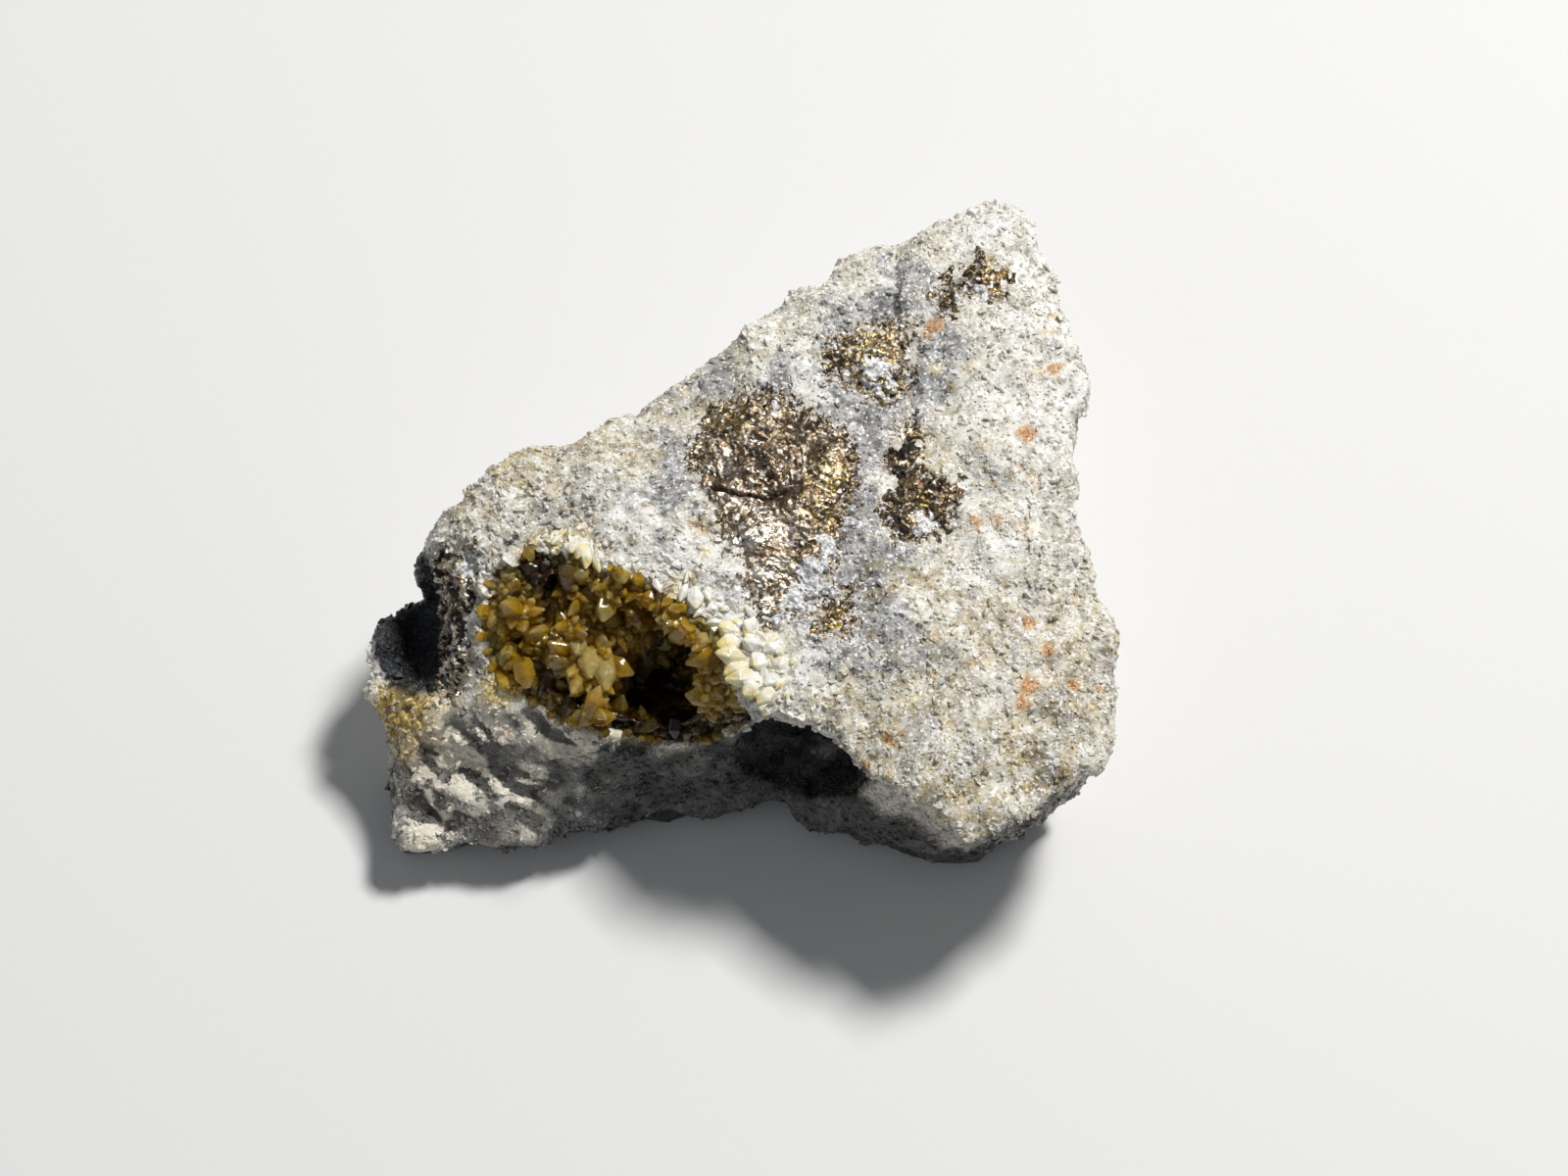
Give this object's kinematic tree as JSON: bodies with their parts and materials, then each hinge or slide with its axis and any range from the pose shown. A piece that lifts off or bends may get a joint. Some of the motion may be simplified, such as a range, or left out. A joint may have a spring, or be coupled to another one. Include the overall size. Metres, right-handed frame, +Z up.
{
  "type": "calaverite mineral specimen",
  "caption": "Broken lump of pale quartz-bearing rock with golden telluride masses on its face and an open hollow lined with yellow quartz crystals.",
  "frame": {"origin": "centre of the bounding box seen from above, on the surface that the stone lies on", "axes": "+X along the specimen's longest way, towards the broad end; +Y towards the upper corner of the main face; +Z up, out of the main face"},
  "size_m": [0.0476, 0.0434, 0.0185],
  "materials": {
    "matrix": "rough",
    "quartz": "gloss",
    "calaverite": "metallic, rough"
  },
  "bodies": {
    "root": {"matrix": "matrix", "quartz_crust": "quartz", "calaverite_main": "calaverite", "calaverite_upper": "calaverite", "calaverite_vein": "calaverite", "calaverite_top": "calaverite", "calaverite_lower": "calaverite", "calaverite_edge": "calaverite"}
  },
  "joints": []
}
